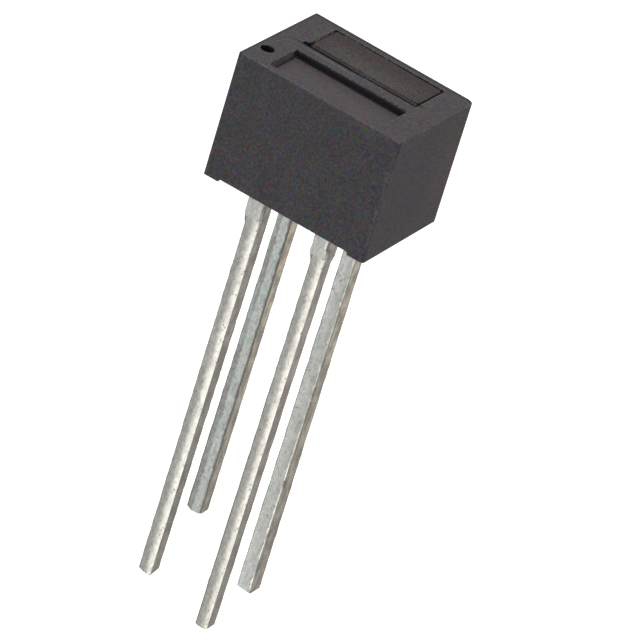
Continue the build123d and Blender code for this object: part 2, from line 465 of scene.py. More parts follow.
def make_blank(name, side, row, low, seat, rolled, slant, at_top, at_tip):
    """side is -1 left and 1 right, rolled is the way (-1 front, 1 back) that the domed face looks.

    slant is how much higher the cut end is on its left and at its back than at its front right corner.
    at_top and at_tip are how much wider the leg is there on its left, right and back.
    """
    x = side * lead_pitch / 2
    inner = x - side * half
    head_end = head_reach if side < 0 else head_reach + post_gap
    head_low = seat - head_thickness
    arm_low = head_low - arm_slope * abs(inner - head_end)
    leg_top = -stub_length - stub_taper
    blank = add_box(name, (x - half, row - half, low), (x + half, row + half, seat))
    edit(blank)
    move(lambda p: p.z < low + 0.01 and p.x < x, (0, 0, slant[0]))
    move(lambda p: p.z < low + 0.2 and p.y > row, (0, 0, slant[1]))
    for z in (leg_top, -stub_length, stub_top - 0.03, stub_top, arm_low):
        cut_line((x, row, z), (0, 0, 1))
    cut_line((x, row, 0), (1, 0, 0))
    for offset in dome_lines:
        cut_line((x - offset, row, 0), (1, 0, 0))
        cut_line((x + offset, row, 0), (1, 0, 0))
    for offset in flank_lines:
        cut_line((x, row + offset, 0), (0, 1, 0))

    # The punched face falls away to its edges, less so on the stub
    face = row + rolled * half
    for offset in (*dome_lines, half):
        drop = face_dome * (offset / half) ** 2 - face_crown
        on_line = lambda p: same(p.y, face) and same(abs(p.x - x), offset)
        on_stub = lambda p: -stub_length - 0.01 < p.z < stub_top - 0.02
        move(lambda p: on_line(p) and p.z < leg_top + 0.01, (0, -rolled * drop, 0))
        move(lambda p: on_line(p) and on_stub(p), (0, -rolled * (drop + face_crown) * stub_dome, 0))
    move(lambda p: same(p.y, face) and same(p.x, x) and p.z < leg_top + 0.01, (0, rolled * face_crown, 0))

    widen(lambda p: same(p.z, leg_top), x, row, *at_top)
    widen(lambda p: p.z < low + 0.3, x, row, *at_tip)

    # The stub is wider, most on the left, and its right edge was dragged over by the shear
    dragged = lambda p: on_stub(p) and same(p.x, x + half) and (p.y - row) * rolled > half - 0.05
    move(dragged, (0, -rolled * stub_rollover, 0))
    for offset in (*dome_lines, half):
        move(lambda p: on_stub(p) and same(p.x, x - offset), (-stub_left * offset / half, 0, 0))
    move(lambda p: on_stub(p) and same(p.x, x + half), (stub_right, 0, 0))

    # The head's arm grows from the inner flank, and the outer corner of the head slopes
    pick("FACE", lambda c, n: n.x * -side > 0.9 and c.z > arm_low)
    bpy.ops.mesh.extrude_region_move(TRANSFORM_OT_translate={"value": (head_end - inner, 0, 0)})
    move(lambda p: same(p.x, head_end) and same(p.z, arm_low), (0, 0, head_low - arm_low))
    move(lambda p: same(p.x, x + side * half) and same(p.z, seat), (0, 0, -arm_slope * half))
    done()
    return blank


# %% Tips, each as its cutter left it
def ease_tip(blank, x, row, low, at_tip, width):
    """Rounds the cut end: planes at two slopes, all round it, each cut its edge off and close the gap."""
    left, right, back = at_tip
    middle = Vector((x + (right - left) / 2, row + back / 2, low))
    half_wide, half_deep = half + (left + right) / 2, half + back / 2
    edit(blank)
    for slope, bite in ((1.0, width), (0.45, 0.5 * width)):
        for turn in range(8):
            way = Vector((math.cos(turn * math.pi / 4), math.sin(turn * math.pi / 4), 0))
            reach = half_wide * abs(way.x) + half_deep * abs(way.y) - bite * (1.0 if turn % 2 == 0 else 1.5)
            bpy.ops.mesh.select_all(action="SELECT")
            bpy.ops.mesh.bisect(
                plane_co=middle + way * reach,
                plane_no=way - Vector((0, 0, slope)),
                use_fill=True,
                clear_outer=True,
            )
    done()


# %% Crisp long edges, then many short faces
def soften_and_divide(blank, x, row, spacing):
    """Rounds the long edges of leg and stub a little, then halves all upright edges down to spacing."""
    edit(blank, "EDGE")

    def upright(a, b):
        return abs(a.z - b.z) > 0.9 * (a - b).length and max(a.z, b.z) < stub_top - 0.02

    def at_corner(p):
        return abs(p.x - x) > half - 0.01 and abs(p.y - row) > half - face_dome - 0.005

    pick("EDGE", lambda a, b: upright(a, b) and at_corner(a) and at_corner(b))
    bpy.ops.mesh.bevel(offset=crisp_edge, segments=2, affect="EDGES")
    while pick("EDGE", lambda a, b: upright(a, b) and (a - b).length > spacing):
        bpy.ops.mesh.subdivide(number_cuts=1)
    done()


# %% What stands on the heads, inside the blocks, and a broken edge on one stub
def add_cone(name, row, low, high, low_radius, high_radius):
    """An upright cone with a cut tip, in the middle of a row, from one height to another."""
    activate()
    place = (0, row, (low + high) / 2)
    bpy.ops.mesh.primitive_cone_add(
        vertices=48, radius1=low_radius, radius2=high_radius, depth=high - low, location=place
    )
    bpy.ops.object.transform_apply(location=True, rotation=True, scale=True)
    bpy.context.object.name = name
    return bpy.context.object


def bite_edge(blank, x, row, high, low, depth):
    """Pushes the front right edge in between two heights, and its neighbours less and less."""
    edit(blank)
    at_edge = lambda p: p.x > x + half - 0.05 and p.y < row - half + face_dome + 0.05 and low < p.z < high
    print(pick("VERT", at_edge), "points of the bitten edge")
    bpy.ops.transform.translate(
        value=(-depth, 0.3 * depth, 0),
        use_proportional_edit=True,
        proportional_edit_falloff="SMOOTH",
        proportional_size=2.0 * depth,
    )
    done()


# %% The four leads
# Each row's block, and the way its punched faces look. slant, at_top and at_tip are as in make_blank.
rows = {front_row: ("detector_block", -1), back_row: ("lamp_block", 1)}
lead_shapes = {
    "collector_lead": dict(
        side=-1, row=front_row, longer=0.04, blunt=0.012,
        slant=(0.08, 0.11), at_top=(0.01, 0.01, 0), at_tip=(0.01, -0.04, 0),
    ),
    "emitter_lead": dict(
        side=1, row=front_row, longer=0.05, blunt=0.08,
        slant=(-0.08, 0.0), at_top=(0.01, -0.05, 0), at_tip=(0.035, -0.085, 0),
    ),
    "anode_lead": dict(
        side=1, row=back_row, longer=0.08, blunt=0.012,
        slant=(0.03, 0.0), at_top=(0.01, 0.01, 0), at_tip=(0.01, 0.04, 0.09),
    ),
    "cathode_lead": dict(
        side=-1, row=back_row, longer=0.055, blunt=0.14,
        slant=(-0.14, -0.02), at_top=(0, 0.035, 0), at_tip=(0.03, 0.025, 0),
    ),
}
pad_half = 0.35
pad_thickness = 0.14
cup_height = 0.44
hollow_height = 0.26
slow_waves = clouds("slow_waves", 0.45, 1)
small_pits = clouds("small_pits", 0.07, 2)
wave_height = 0.026
pit_height = 0.012
leads = {}
for lead, shape in lead_shapes.items():
    row, slant, at_tip = shape["row"], shape["slant"], shape["at_tip"]
    block, rolled = rows[row]
    x = shape["side"] * lead_pitch / 2
    low = size_of(lead)[0].z - shape["longer"]
    seat = size_of(block)[1].z - head_depth
    name = lead.replace("lead", "stamping")
    blank = make_blank(name, shape["side"], row, low, seat, rolled, slant, shape["at_top"], at_tip)
    ease_tip(blank, x, row, low + min(0.0, *slant), at_tip, shape["blunt"])
    soften_and_divide(blank, x, row, spacing=0.06)
    if lead == "collector_lead":
        pad_low = (-head_reach, row - pad_half, seat - pad_thickness)
        combine(blank, add_box("pad", pad_low, (head_reach, row + pad_half, seat)))
    if lead == "emitter_lead":
        bite_edge(blank, x, row, high=-0.42, low=-0.62, depth=0.11)
    if lead == "cathode_lead":
        combine(blank, add_cone("cup", row, seat - cup_height, seat, 0.28, 0.36))
        cut(blank, add_cone("cup_hollow", row, seat - hollow_height, seat + 0.02, 0.23, 0.305))
    displace(blank, slow_waves, wave_height)
    displace(blank, small_pits, pit_height)
    finish_piece(blank, lead, smooth_below=45)
    leads[lead] = blank

# %% [markdown]
# ## Resin fill
#
# Resin is poured into the upturned housing and closes it. While it is liquid it creeps up the walls and the
# leads, so its face has a raised rim all round and a collar at each lead. A grid of points is pulled there
# with a soft falloff, as with proportional editing by hand, and then gets its thickness. A few cubes would
# be quicker, but from below the rim is what tells poured resin from a moulded plate.

# %% Resin fill
rim_height = 0.09
rim_reach = 0.30
collar_height = 0.10
collar_reach = 0.20

activate()
fill_size = fill_high - fill_low
middle = (fill_low + fill_high) / 2
bpy.ops.mesh.primitive_grid_add(
    x_subdivisions=110, y_subdivisions=84, size=1, location=(middle.x, middle.y, fill_low.z + rim_height)
)
fill = bpy.context.object
fill.name = "resin_pour"
fill.scale = (fill_size.x, fill_size.y, 1)
bpy.ops.object.transform_apply(location=True, rotation=True, scale=True)


def creep(test, height, reach):
    """Pulls the points that pass the test down, and their neighbours less and less."""
    count = pick("VERT", test)
    bpy.ops.transform.translate(
        value=(0, 0, -height),
        use_proportional_edit=True,
        proportional_edit_falloff="SHARP",
        proportional_size=reach,
    )
    return count


edit(fill)
near_wall = lambda p: min(fill_high.x - abs(p.x), p.y - fill_low.y, fill_high.y - p.y) < 0.01
print("points at the walls:", creep(near_wall, rim_height, rim_reach))
for x in (-lead_pitch / 2, lead_pitch / 2):
    for row in (front_row, back_row):
        left, right = x - half - stub_left, x + half + stub_right
        at_lead = lambda p: left - 0.03 < p.x < right + 0.03 and abs(p.y - row) < half + 0.03
        print("points at a lead:", creep(at_lead, collar_height, collar_reach))
bpy.ops.mesh.select_all(action="SELECT")
bpy.ops.mesh.extrude_region_move(TRANSFORM_OT_translate={"value": (0, 0, 1)})
bpy.ops.transform.resize(value=(1, 1, 0), center_override=(0, 0, fill_high.z))
bpy.ops.mesh.select_all(action="SELECT")
bpy.ops.mesh.normals_make_consistent(inside=False)
done()
mould = add_box("mould", fill_low, fill_high)
round_upright_edges(mould, pocket_radius, 5)
combine(fill, mould, "INTERSECT")
for x in (-lead_pitch / 2, lead_pitch / 2):
    for row in (front_row, back_row):
        low = (x - half - stub_left + 0.02, row - half + 0.02, fill_low.z - 0.2)
        high = (x + half + stub_right - 0.02, row + half - 0.02, fill_high.z + 0.2)
        cut(fill, add_box("lead_hole", low, high))
finish_piece(fill, "resin_fill", smooth_below=60)

# %% [markdown]
# ## Building finishes from nodes
#
# Every finish here is worked out from the place of a point on the piece, so it needs no picture and has no
# seams. Patterns that several finishes share are node groups: moulded speckle, the wear that light edges
# get, and the marks of rolled metal. A group only puts out colours, masks and heights, and the shader
# itself stays in the material.

# %% Helpers for nodes
def add_node(tree, kind, **settings):
    """Adds a node. A setting with a plain name is the node's own, and one in inputs sets its sockets."""
    made = tree.nodes.new("ShaderNode" + kind)
    for socket, value in settings.pop("inputs", {}).items():
        made.inputs[socket].default_value = value
    for name, value in settings.items():
        setattr(made, name, value)
    return made


def feed(value, socket):
    """Links a value that comes out of a node to the socket, and sets any other value there."""
    if isinstance(value, bpy.types.NodeSocket):
        socket.id_data.links.new(value, socket)
    else:
        socket.default_value = (*value, 1) if socket.type == "RGBA" else value


def math_node(tree, operation, a, b=None, c=None, clamp=False):
    """One step of arithmetic on numbers or sockets. Returns the result's socket."""
    made = add_node(tree, "Math", operation=operation, use_clamp=clamp)
    for socket, value in zip(made.inputs, (a, b, c)):
        if value is not None:
            feed(value, socket)
    return made.outputs[0]


def blend_colours(tree, mask, a, b, mode="MIX"):
    """Goes from colour a to colour b as the mask goes from 0 to 1."""
    made = add_node(tree, "Mix", data_type="RGBA", blend_type=mode)
    for index, value in ((0, mask), (6, a), (7, b)):
        feed(value, made.inputs[index])
    return made.outputs[2]


def step_up(tree, value, low, high):
    """A mask that goes smoothly from 0 at low to 1 at high."""
    limits = {"From Min": low, "From Max": high}
    made = add_node(tree, "MapRange", interpolation_type="SMOOTHSTEP", inputs=limits)
    feed(value, made.inputs["Value"])
    return made.outputs["Result"]


def object_place(tree, centre=(0, 0, 0), size=(1, 1, 1)):
    """Object coordinates in units of size, measured from centre, both in millimetres."""
    coordinates = add_node(tree, "TexCoord")
    mapping = add_node(tree, "Mapping")
    mapping.inputs["Scale"].default_value = [1 / (s * mm) for s in size]
    mapping.inputs["Location"].default_value = [-c / s for c, s in zip(centre, size)]
    feed(coordinates.outputs["Object"], mapping.inputs["Vector"])
    return mapping.outputs["Vector"]


def noise(tree, place, detail=2.0, roughness=0.5, output="Fac"):
    """Cloudy noise with lumps as large as one unit of place."""
    made = add_node(tree, "TexNoise", inputs={"Scale": 1.0, "Detail": detail, "Roughness": roughness})
    feed(place, made.inputs["Vector"])
    return made.outputs[output]


def new_group(name, inputs, outputs):
    """An empty node group. inputs and outputs list the name and kind of each socket."""
    tree = bpy.data.node_groups.new(name, "ShaderNodeTree")
    for direction, sockets in (("INPUT", inputs), ("OUTPUT", outputs)):
        for socket, kind in sockets:
            tree.interface.new_socket(socket, in_out=direction, socket_type="NodeSocket" + kind)
    return tree, tree.nodes.new("NodeGroupInput"), tree.nodes.new("NodeGroupOutput")


def use_group(tree, group, **values):
    """Places a group in a material and sets or links its inputs."""
    made = tree.nodes.new("ShaderNodeGroup")
    made.node_tree = group
    for name, value in values.items():
        feed(value, made.inputs[name])
    return made.outputs


def new_material(name, **shader_values):
    """A material with a Principled shader, whose constant values are set on its own sockets."""
    material = bpy.data.materials.new(name)
    material.use_nodes = True
    shader = material.node_tree.nodes["Principled BSDF"]
    for socket, value in shader_values.items():
        shader.inputs[socket.replace("_", " ")].default_value = value
    return material, material.node_tree, shader


def link_bump(tree, shader, height, depth, strength=1.0):
    """Feeds a height into the shader's normal. depth is in millimetres."""
    bump = add_node(tree, "Bump", inputs={"Strength": strength, "Distance": depth * mm})
    feed(height, bump.inputs["Height"])
    feed(bump.outputs["Normal"], shader.inputs["Normal"])


# %% Group: speckle of a moulded or cast surface
speckle, source, result = new_group(
    "moulded_speckle",
    (("Colour", "Color"), ("Spread", "Float"), ("Mottle", "Float")),
    (("Colour", "Color"), ("Height", "Float"), ("Patch", "Float")),
)
grain_size = 0.09
patch_size = 0.7
grain_place = object_place(speckle, size=(grain_size,) * 3)
grain_colour = noise(speckle, grain_place, detail=3.0, roughness=0.75, output="Color")
grain_height = noise(speckle, grain_place, detail=3.0, roughness=0.75)
patch = noise(speckle, object_place(speckle, size=(patch_size,) * 3), detail=3.0, roughness=0.55)


def around_one(tree, value, amount):
    """Turns noise round a half into a factor round one: 1 + amount x (2 x noise - 1)."""
    return math_node(tree, "MULTIPLY_ADD", math_node(tree, "MULTIPLY_ADD", value, 2.0, -1.0), amount, 1.0)


split = add_node(speckle, "SeparateColor")
feed(grain_colour, split.inputs[0])
merge = add_node(speckle, "CombineColor")
for channel in range(3):
    tint = around_one(speckle, split.outputs[channel], source.outputs["Spread"])
    feed(tint, merge.inputs[channel])
speckled = blend_colours(speckle, 1.0, source.outputs["Colour"], merge.outputs[0], "MULTIPLY")
mottled = add_node(speckle, "VectorMath", operation="SCALE")
feed(speckled, mottled.inputs[0])
feed(around_one(speckle, patch, source.outputs["Mottle"]), mottled.inputs["Scale"])
feed(mottled.outputs[0], result.inputs["Colour"])
feed(grain_height, result.inputs["Height"])
feed(patch, result.inputs["Patch"])

# %% Group: wear on edges
edge_wear, source, result = new_group("edge_wear", (("Amount", "Float"),), (("Wear", "Float"),))
rounded = add_node(edge_wear, "Bevel", samples=6, inputs={"Radius": 0.09 * mm})
true_normal = add_node(edge_wear, "NewGeometry")
likeness = add_node(edge_wear, "VectorMath", operation="DOT_PRODUCT")
feed(rounded.outputs[0], likeness.inputs[0])
feed(true_normal.outputs["True Normal"], likeness.inputs[1])
edge = step_up(edge_wear, math_node(edge_wear, "SUBTRACT", 1.0, likeness.outputs["Value"]), 0.006, 0.07)
chips = step_up(edge_wear, noise(edge_wear, object_place(edge_wear, size=(0.09,) * 3), 3.0, 0.6), 0.48, 0.62)
wear = math_node(edge_wear, "MULTIPLY", edge, chips)
wear = math_node(edge_wear, "MULTIPLY", wear, source.outputs["Amount"])
feed(wear, result.inputs["Wear"])

# %% Group: marks of rolled and sheared metal
edge_zone = (0.228, 0.245)  # across the lead, from its middle
stub_zone = (-1.18, -0.98)  # heights
leg_zone = (-14.5, -2.0)
mark_names = ("Streak", "Patch", "Pit", "Across", "Rim", "Flank", "Tip", "Stub", "Down", "Grain")
metal_marks, source, result = new_group(
    "metal_marks", (("Centre", "Vector"), ("Corner", "Float")), [(name, "Float") for name in mark_names]
)
own_place = add_node(metal_marks, "VectorMath", operation="SUBTRACT")
feed(object_place(metal_marks, size=(1, 1, 1)), own_place.inputs[0])
feed(source.outputs["Centre"], own_place.inputs[1])


def mark(operation, *values):
    """One step of arithmetic in this group."""
    return math_node(metal_marks, operation, *values)


def ramp(value, low, high):
    """A soft step in this group."""
    return step_up(metal_marks, value, low, high)


def stretched(size):
    """The place on the lead in units of size, so that marks can be longer than wide."""
    made = add_node(metal_marks, "VectorMath", operation="DIVIDE")
    feed(own_place.outputs[0], made.inputs[0])
    made.inputs[1].default_value = size
    return made.outputs[0]


streak = noise(metal_marks, stretched((0.075, 0.075, 0.15)), 3.0, 0.7)
patches = noise(metal_marks, stretched((0.30, 0.30, 0.75)), 2.0, 0.5)
cells = add_node(metal_marks, "TexVoronoi", inputs={"Scale": 1.0, "Randomness": 1.0})
feed(stretched((0.10, 0.10, 0.15)), cells.inputs["Vector"])
off_point = ramp(cells.outputs["Distance"], 0.16, 0.34)
near_point = mark("SUBTRACT", 1.0, off_point)
here = ramp(noise(metal_marks, stretched((0.21, 0.21, 0.31)), 1.0), 0.50, 0.60)
pit = mark("MULTIPLY", near_point, here)
axes = add_node(metal_marks, "SeparateXYZ")
feed(own_place.outputs[0], axes.inputs[0])
wander = noise(metal_marks, stretched((0.16, 0.16, 0.22)), 2.0)
wander = mark("MULTIPLY_ADD", wander, 0.14, -0.07)
across = mark("ADD", axes.outputs["X"], wander)
grain = noise(metal_marks, stretched((0.03, 0.03, 0.045)), 2.0, 0.7)
side_edge = ramp(mark("ABSOLUTE", axes.outputs["X"]), *edge_zone)
depth_in = mark("ABSOLUTE", axes.outputs["Y"])
depth_in = mark("SUBTRACT", depth_in, source.outputs["Corner"])
rim = mark("MULTIPLY", side_edge, ramp(depth_in, -0.03, -0.005))
stub = ramp(axes.outputs["Z"], *stub_zone)
rim = mark("MULTIPLY", rim, mark("SUBTRACT", 1.0, stub))
down = mark("SUBTRACT", 1.0, ramp(axes.outputs["Z"], *leg_zone))
facing = add_node(metal_marks, "SeparateXYZ")
normal = add_node(metal_marks, "TexCoord")
feed(normal.outputs["Normal"], facing.inputs[0])
flank = ramp(mark("ABSOLUTE", facing.outputs["X"]), 0.74, 0.86)
tip = ramp(mark("MULTIPLY", facing.outputs["Z"], -1.0), 0.5, 0.8)
marks = (streak, patches, pit, across, rim, flank, tip, stub, down, grain)
for name, value in zip(mark_names, marks):
    feed(value, result.inputs[name])
print("groups:", [g.name for g in bpy.data.node_groups])

# %% [markdown]
# ## Black moulded plastic
#
# The housing is a glass-filled black plastic from a spark-eroded mould. It is not one black: the skin is
# grainy, tiny fibre ends catch the light in several tints, and the flow of the melt leaves faint patches.
# Its edges are rubbed a little lighter. A plain dark grey would look like a shadow, not like a material.

# %% Black moulded plastic
def spot(tree, centre, reach, core):
    """A mask that is 1 in the core of a box and fades to 0 at its walls. core goes from 0 to 1."""
    axes = add_node(tree, "SeparateXYZ")
    feed(object_place(tree, centre, reach), axes.inputs[0])
    farthest = None
    for axis in "XYZ":
        away = math_node(tree, "ABSOLUTE", axes.outputs[axis])
        farthest = away if farthest is None else math_node(tree, "MAXIMUM", farthest, away)
    return math_node(tree, "SUBTRACT", 1.0, step_up(tree, farthest, core, 1.0))


def moulded(name, colour, spread, mottle, wear, roughness, gloss, depth, spots=()):
    """A moulded or cast black. wear lightens the edges, gloss is the specular level.

    spots are places with a colour of their own, or with painted light or shade: centre, reach, core, colour
    and amount.
    """
    material, tree, shader = new_material(name, Specular_IOR_Level=gloss)
    skin = use_group(tree, speckle, Colour=colour, Spread=spread, Mottle=mottle)
    rubbed = use_group(tree, edge_wear, Amount=wear)["Wear"]
    finish = blend_colours(tree, rubbed, skin["Colour"], (0.17, 0.155, 0.16))
    for centre, reach, core, own_colour, amount in spots:
        here = math_node(tree, "MULTIPLY", spot(tree, centre, reach, core), amount)
        own_skin = use_group(tree, speckle, Colour=own_colour, Spread=spread, Mottle=mottle)
        finish = blend_colours(tree, here, finish, own_skin["Colour"])
    feed(finish, shader.inputs["Base Color"])
    low, high = roughness
    dull = math_node(tree, "MULTIPLY_ADD", skin["Patch"], high - low, low)
    feed(math_node(tree, "ADD", dull, rubbed, clamp=True), shader.inputs["Roughness"])
    link_bump(tree, shader, skin["Height"], depth)
    return material


# Painted shade in the gaps, the dimple and along the back and left rims, painted light on the left wall of
# the front window, on the front right edge and towards the back of the right side, whose front is painted
# darker, rubbed skin on the front rims and the divider, and a darker line under the front left edge.
painted_shade_black = (0.010, 0.008, 0.010)
shaded_black = (0.022, 0.020, 0.021)
painted_light_on_wall = (0.15, 0.13, 0.14)
worn_soft = (0.064, 0.058, 0.062)
worn_pale = (0.125, 0.110, 0.122)
spots = (
    # painted shade in the gap in front of the divider
    ((0, divider_front - 0.02, 4.2), (2.3, 0.06, 0.19), 0.8, painted_shade_black, 0.85),
    # painted shade in the gap in front of the lamp block, in three stretches
    ((-1.3, lamp_low.y - 0.07, top), (0.98, 0.085, 0.25), 0.8, painted_shade_black, 0.9),
    ((0.1, lamp_low.y - 0.07, top), (0.9, 0.08, 0.25), 0.6, shaded_black, 0.95),
    ((1.5, lamp_low.y - 0.07, top), (0.9, 0.085, 0.25), 0.7, painted_shade_black, 0.8),
    # painted shade in the dimple
    ((*dimple_place, top - 0.3), (0.26, 0.26, 0.27), 0.9, painted_shade_black, 0.9),
    # the right side: painted shade towards its front, painted light towards its back
    ((housing_high.x, housing_low.y, 2.2), (0.12, 4.4, 2.25), 0.3, (0.0437, 0.0357, 0.0428), 1.0),
    ((housing_high.x, housing_high.y, 2.2), (0.30, 2.4, 2.25), 0.1, (0.060, 0.0465, 0.0455), 1.0),
    # painted light on the left wall of the front window
    ((-window_end, -1.2, 4.2), (0.10, 0.74, 0.19), 0.8, painted_light_on_wall, 0.9),
    # painted shade along the back edge of the divider
    ((-1.2, divider_back - 0.01, top), (1.7, 0.09, 0.06), 0.5, painted_shade_black, 0.75),
    ((-1.2, divider_back - 0.15, top), (1.5, 0.06, 0.05), 0.3, worn_pale, 0.4),
    # painted shade along the back and left rims of the top
    ((0, housing_high.y, top), (6.5, 0.20, 0.06), 0.5, shaded_black, 0.85),
    ((housing_low.x, 0, top), (0.13, 5.0, 0.06), 0.5, shaded_black, 0.7),
    # painted light on the front right upright edge
    ((housing_high.x, housing_low.y, 2.2), (0.17, 0.17, 2.2), 0.4, (0.072, 0.066, 0.068), 1.0),
    ((-2.3, housing_low.y, top - 0.16), (0.8, 0.05, 0.09), 0.4, (0.022, 0.015, 0.025), 0.6),
    ((0, housing_low.y, top), (3.1, 0.14, 0.08), 0.2, worn_soft, 0.8),
    ((-2.1, housing_low.y, top), (0.30, 0.06, 0.04), 0.0, worn_pale, 0.6),
    ((1.9, housing_low.y, top), (1.5, 0.45, 0.40), 0.1, worn_soft, 0.5),
)
plastic = moulded(
    "black_moulded_plastic", (0.047, 0.0425, 0.0455), 2.0, 0.30, 0.8, (0.50, 0.70), 0.15, 0.004, spots
)

# %% [markdown]
# ## Dark epoxy
#
# The blocks in the windows are cast in an epoxy with a dye that lets only infrared through. To the eye they
# are a brownish black, a bit smoother than the housing because they were cast in polished cavities. The
# fill below is a potting resin: blacker and glossier, since its free face set without touching a mould.

# %% Dark epoxies
detector_epoxy = moulded(
    "detector_epoxy", (0.044, 0.038, 0.041), 1.7, 0.20, 0.3, (0.40, 0.58), 0.2, depth=0.003
)
lamp_spots = (((0, 0.4, top), (3.0, 1.3, 1.0), 0.0, (0.053, 0.049, 0.045), 1.0),)
lamp_epoxy = moulded(
    "lamp_epoxy", (0.031, 0.023, 0.023), 2.1, 0.20, 0.3, (0.45, 0.65), 0.1, 0.003, lamp_spots
)
potting = moulded(
    "potting_resin", (0.022, 0.021, 0.023), 0.4, 0.30, 0.0, (0.22, 0.42), 0.5, depth=0.0015
)

# %% [markdown]
# ## Tinned leads
#
# Each face of a lead has its own history, and some of its colour is painted light. Across the punched face
# the colour goes from darker on the left to lighter on the right: partly burnishing, partly a painted
# highlight, and on one lead a dark left third is partly painted shade. The flanks were ripped by the shear
# and stayed rough and brownish, and their darkness is partly painted shade. A painted dark line of shade
# runs where face meets flank, one lead has a painted highlight along the right edge of its face, and the
# flanks grow darker towards the tips.
# Dull, faintly green patches lie where flux dried on the tin. So the finish asks which way the skin looks
# and how far across the lead it is, and takes colours from there. One noise over everything would miss that
# the sides differ.

# %% Tinned leads
def tinned(name, centre, face, stain, torn_and_shaded, burnish_and_painted_light, corner, crease, grainy):
    """Tin on one lead.

    face is its colours left and right, which meet between the two places across it in
    burnish_and_painted_light: partly burnishing, partly a painted highlight and painted shade. stain lies on
    it in patches. torn_and_shaded is the darkest and lightest colour of its flanks, rough from the shear and
    partly painted shade. corner is where its edges lie from front to back. crease is a colour for a painted
    line along the right edge of the face, a painted highlight on one lead and painted shade on another, and
    its amounts at the top and at the tip.
    """
    material, tree, shader = new_material(name, Metallic=1.0)
    marks = use_group(tree, metal_marks, Centre=centre, Corner=corner)
    times = lambda a, b: math_node(tree, "MULTIPLY", a, b)
    # from darker left to lighter right across the face: partly burnishing, partly a painted highlight and
    # painted shade
    front = blend_colours(tree, step_up(tree, marks["Across"], *burnish_and_painted_light), *face)
    fading = math_node(tree, "MULTIPLY_ADD", marks["Down"], -0.4, 0.55)
    front = blend_colours(tree, times(step_up(tree, marks["Patch"], 0.42, 0.66), fading), front, stain)
    front = blend_colours(tree, times(marks["Stub"], 0.8), front, stub_grey)
    # a painted line along the right edge of the face: a painted highlight on one lead, painted shade on
    # another
    line = times(step_up(tree, marks["Across"], 0.185, 0.215), step_up(tree, marks["Patch"], 0.35, 0.5))
    line_colour, line_above, line_below = crease
    line = times(line, math_node(tree, "MULTIPLY_ADD", marks["Down"], line_below - line_above, line_above))
    front = blend_colours(tree, line, front, line_colour)
    # the flanks are rough from the shear, and their darkness is partly painted shade
    flank = blend_colours(tree, step_up(tree, marks["Patch"], 0.38, 0.62), *torn_and_shaded)
    # the flanks get darker towards the tip
    flank = blend_colours(tree, times(marks["Down"], 0.45), flank, darker_lower_flank)
    colour = blend_colours(tree, marks["Flank"], front, flank)
    # a painted dark line of shade along the edge between face and flank
    colour = blend_colours(tree, times(marks["Rim"], 0.8), colour, painted_edge_shade)
    colour = blend_colours(tree, marks["Tip"], colour, cut_grey)
    light = math_node(tree, "MULTIPLY_ADD", marks["Streak"], grainy, 0.85 - grainy / 2)
    light = math_node(tree, "MULTIPLY_ADD", marks["Grain"], 0.30, light)
    shaded = add_node(tree, "VectorMath", operation="SCALE")
    feed(colour, shaded.inputs[0])
    feed(light, shaded.inputs["Scale"])
    colour = blend_colours(tree, times(marks["Pit"], 0.55), shaded.outputs[0], pit_dark)
    feed(colour, shader.inputs["Base Color"])
    rough = math_node(tree, "MULTIPLY_ADD", marks["Streak"], 0.22, 0.24)
    rough = math_node(tree, "MULTIPLY_ADD", marks["Flank"], 0.18, rough)
    feed(rough, shader.inputs["Roughness"])
    relief = math_node(tree, "MULTIPLY_ADD", marks["Pit"], -0.8, marks["Streak"])
    link_bump(tree, shader, relief, 0.006)
    return material


stub_grey = (0.36, 0.355, 0.33)
cut_grey = (0.20, 0.185, 0.17)
darker_lower_flank = (0.12, 0.115, 0.10)
pit_dark = (0.10, 0.09, 0.08)
green_grey = (0.31, 0.368, 0.345)
# a painted highlight and painted shade for lines along the edges of the faces
painted_edge_highlight = (0.92, 0.91, 0.84)
painted_edge_shade = (0.10, 0.095, 0.085)
front_corner = half - face_dome + face_crown
back_corner = half
tin = {
    "collector_lead": tinned(
        "tin_collector", (-1.27, front_row, 0),
        face=((0.26, 0.255, 0.23), (0.50, 0.49, 0.45)), stain=(0.35, 0.345, 0.32),
        torn_and_shaded=((0.25, 0.226, 0.195), (0.36, 0.34, 0.305)), burnish_and_painted_light=(-0.10, 0.19),
        corner=front_corner, crease=(painted_edge_shade, 0, 0), grainy=1.2,
    ),
    "emitter_lead": tinned(
        "tin_emitter", (1.27, front_row, 0),
        face=((0.275, 0.27, 0.245), (0.52, 0.505, 0.46)), stain=(0.34, 0.335, 0.31),
        torn_and_shaded=((0.225, 0.203, 0.180), (0.325, 0.300, 0.272)), burnish_and_painted_light=(-0.08, 0.21),
        corner=front_corner, crease=(painted_edge_shade, 0, 0), grainy=1.2,
    ),
    "anode_lead": tinned(
        "tin_anode", (1.27, back_row, 0),
        face=((0.43, 0.43, 0.405), (0.40, 0.405, 0.375)), stain=(0.29, 0.325, 0.295),
        torn_and_shaded=((0.245, 0.22, 0.185), (0.45, 0.395, 0.32)), burnish_and_painted_light=(-0.05, 0.20),
        corner=back_corner, crease=(painted_edge_highlight, 0.45, 1.0), grainy=1.25,
    ),
    "cathode_lead": tinned(
        "tin_cathode", (-1.27, back_row, 0),
        face=((0.225, 0.222, 0.205), (0.40, 0.415, 0.39)), stain=green_grey,
        torn_and_shaded=((0.27, 0.245, 0.20), (0.49, 0.44, 0.35)), burnish_and_painted_light=(-0.10, -0.03),
        corner=back_corner, crease=(painted_edge_shade, 0.6, 0.3), grainy=1.4,
    ),
}

# %% [markdown]
# ## Inside the blocks
#
# Chips, their silvery glue and the gold wires are closed in and can't be seen, but a cut-away view of the
# model shows them, so they get their real finishes too.

